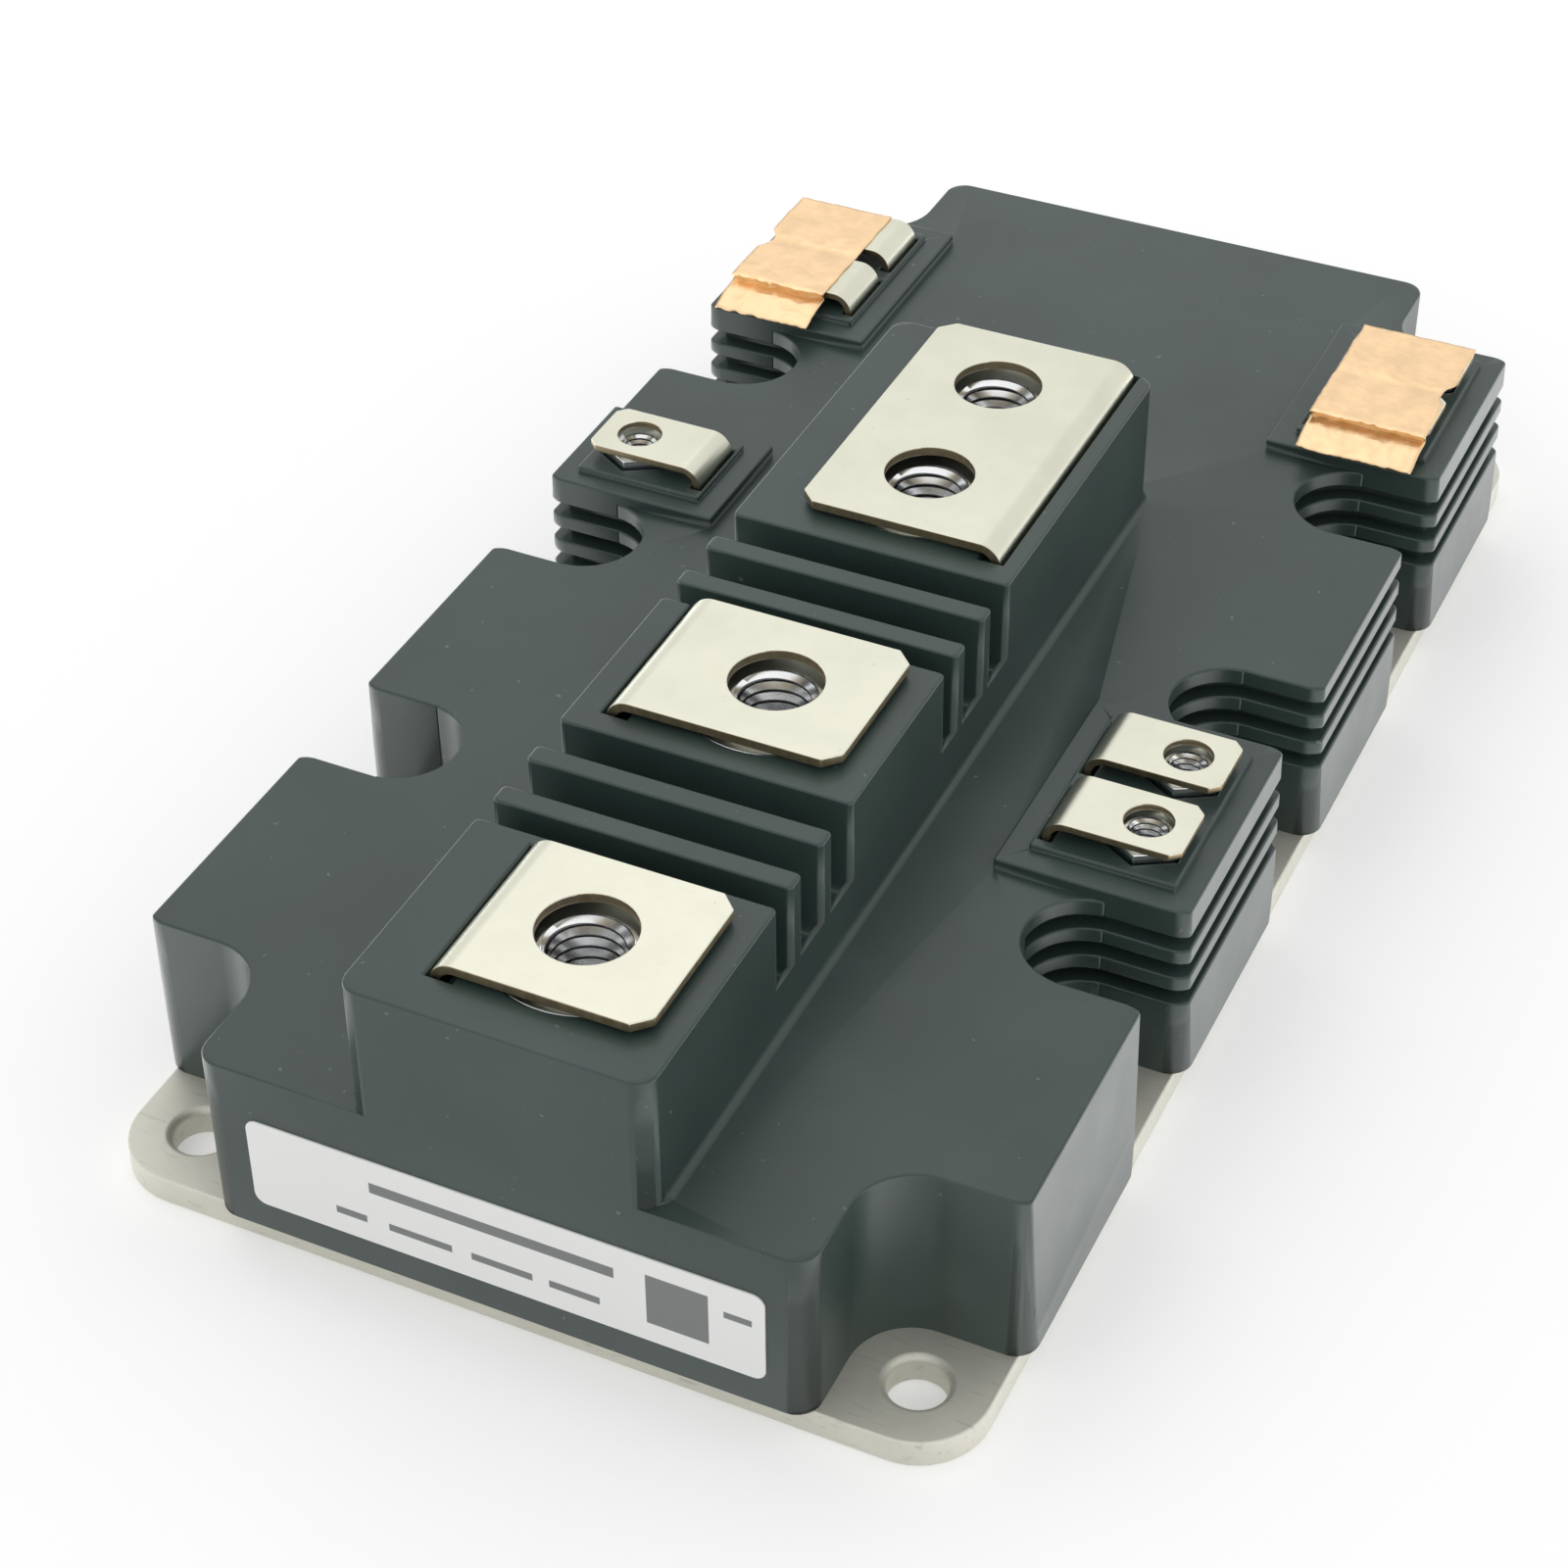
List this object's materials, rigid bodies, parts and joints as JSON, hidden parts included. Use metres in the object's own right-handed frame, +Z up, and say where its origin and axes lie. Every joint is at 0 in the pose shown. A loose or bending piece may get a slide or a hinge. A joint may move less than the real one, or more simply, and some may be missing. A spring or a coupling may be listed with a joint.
{
  "type": "igbt module",
  "caption": "Flat half-bridge power module: plated base plate, dark moulded housing with a finned ridge, bolted main terminals and small control tabs.",
  "frame": {"origin": "middle of the base plate's underside", "axes": "+Z up from the heatsink face, +Y along the module away from the label end, +X to the right seen from the label end"},
  "size_m": [0.089, 0.1721, 0.038],
  "materials": {
    "plate_nickel": "satin nickel plate",
    "housing_plastic": "fine moulded grain",
    "label_film": "smooth",
    "terminal_nickel": "satin nickel plate",
    "nut_steel": "bright zinc plate",
    "copper_foil": "bare copper foil, creased",
    "insulating_sheet": "smooth",
    "sensor_ceramic": "matt",
    "silicone_gel": "glossy",
    "substrate_ceramic": "matt",
    "track_copper": "bare copper",
    "chip_silicon": "polished",
    "wire_aluminium": "bright drawn wire"
  },
  "bodies": {
    "root": {"base_plate": "plate_nickel", "housing": "housing_plastic", "label": "label_film", "near_terminal": "terminal_nickel", "middle_terminal": "terminal_nickel", "far_terminal": "terminal_nickel", "m8_nuts": "nut_steel", "m4_nuts": "nut_steel", "left_foil": "copper_foil", "right_foil": "copper_foil", "busbar_insulator": "insulating_sheet", "thermistor": "sensor_ceramic", "gel_fill": "silicone_gel", "control_terminal_1": "terminal_nickel", "control_terminal_2": "terminal_nickel", "control_terminal_3": "terminal_nickel", "control_terminal_4": "terminal_nickel", "control_terminal_5": "terminal_nickel", "control_terminal_6": "terminal_nickel", "control_terminal_7": "terminal_nickel", "substrate_1": "substrate_ceramic", "copper_tracks_1": "track_copper", "igbt_chips_1": "chip_silicon", "diode_chips_1": "chip_silicon", "bond_wires_1": "wire_aluminium", "substrate_2": "substrate_ceramic", "copper_tracks_2": "track_copper", "igbt_chips_2": "chip_silicon", "diode_chips_2": "chip_silicon", "bond_wires_2": "wire_aluminium", "substrate_3": "substrate_ceramic", "copper_tracks_3": "track_copper", "igbt_chips_3": "chip_silicon", "diode_chips_3": "chip_silicon", "bond_wires_3": "wire_aluminium"}
  },
  "joints": []
}
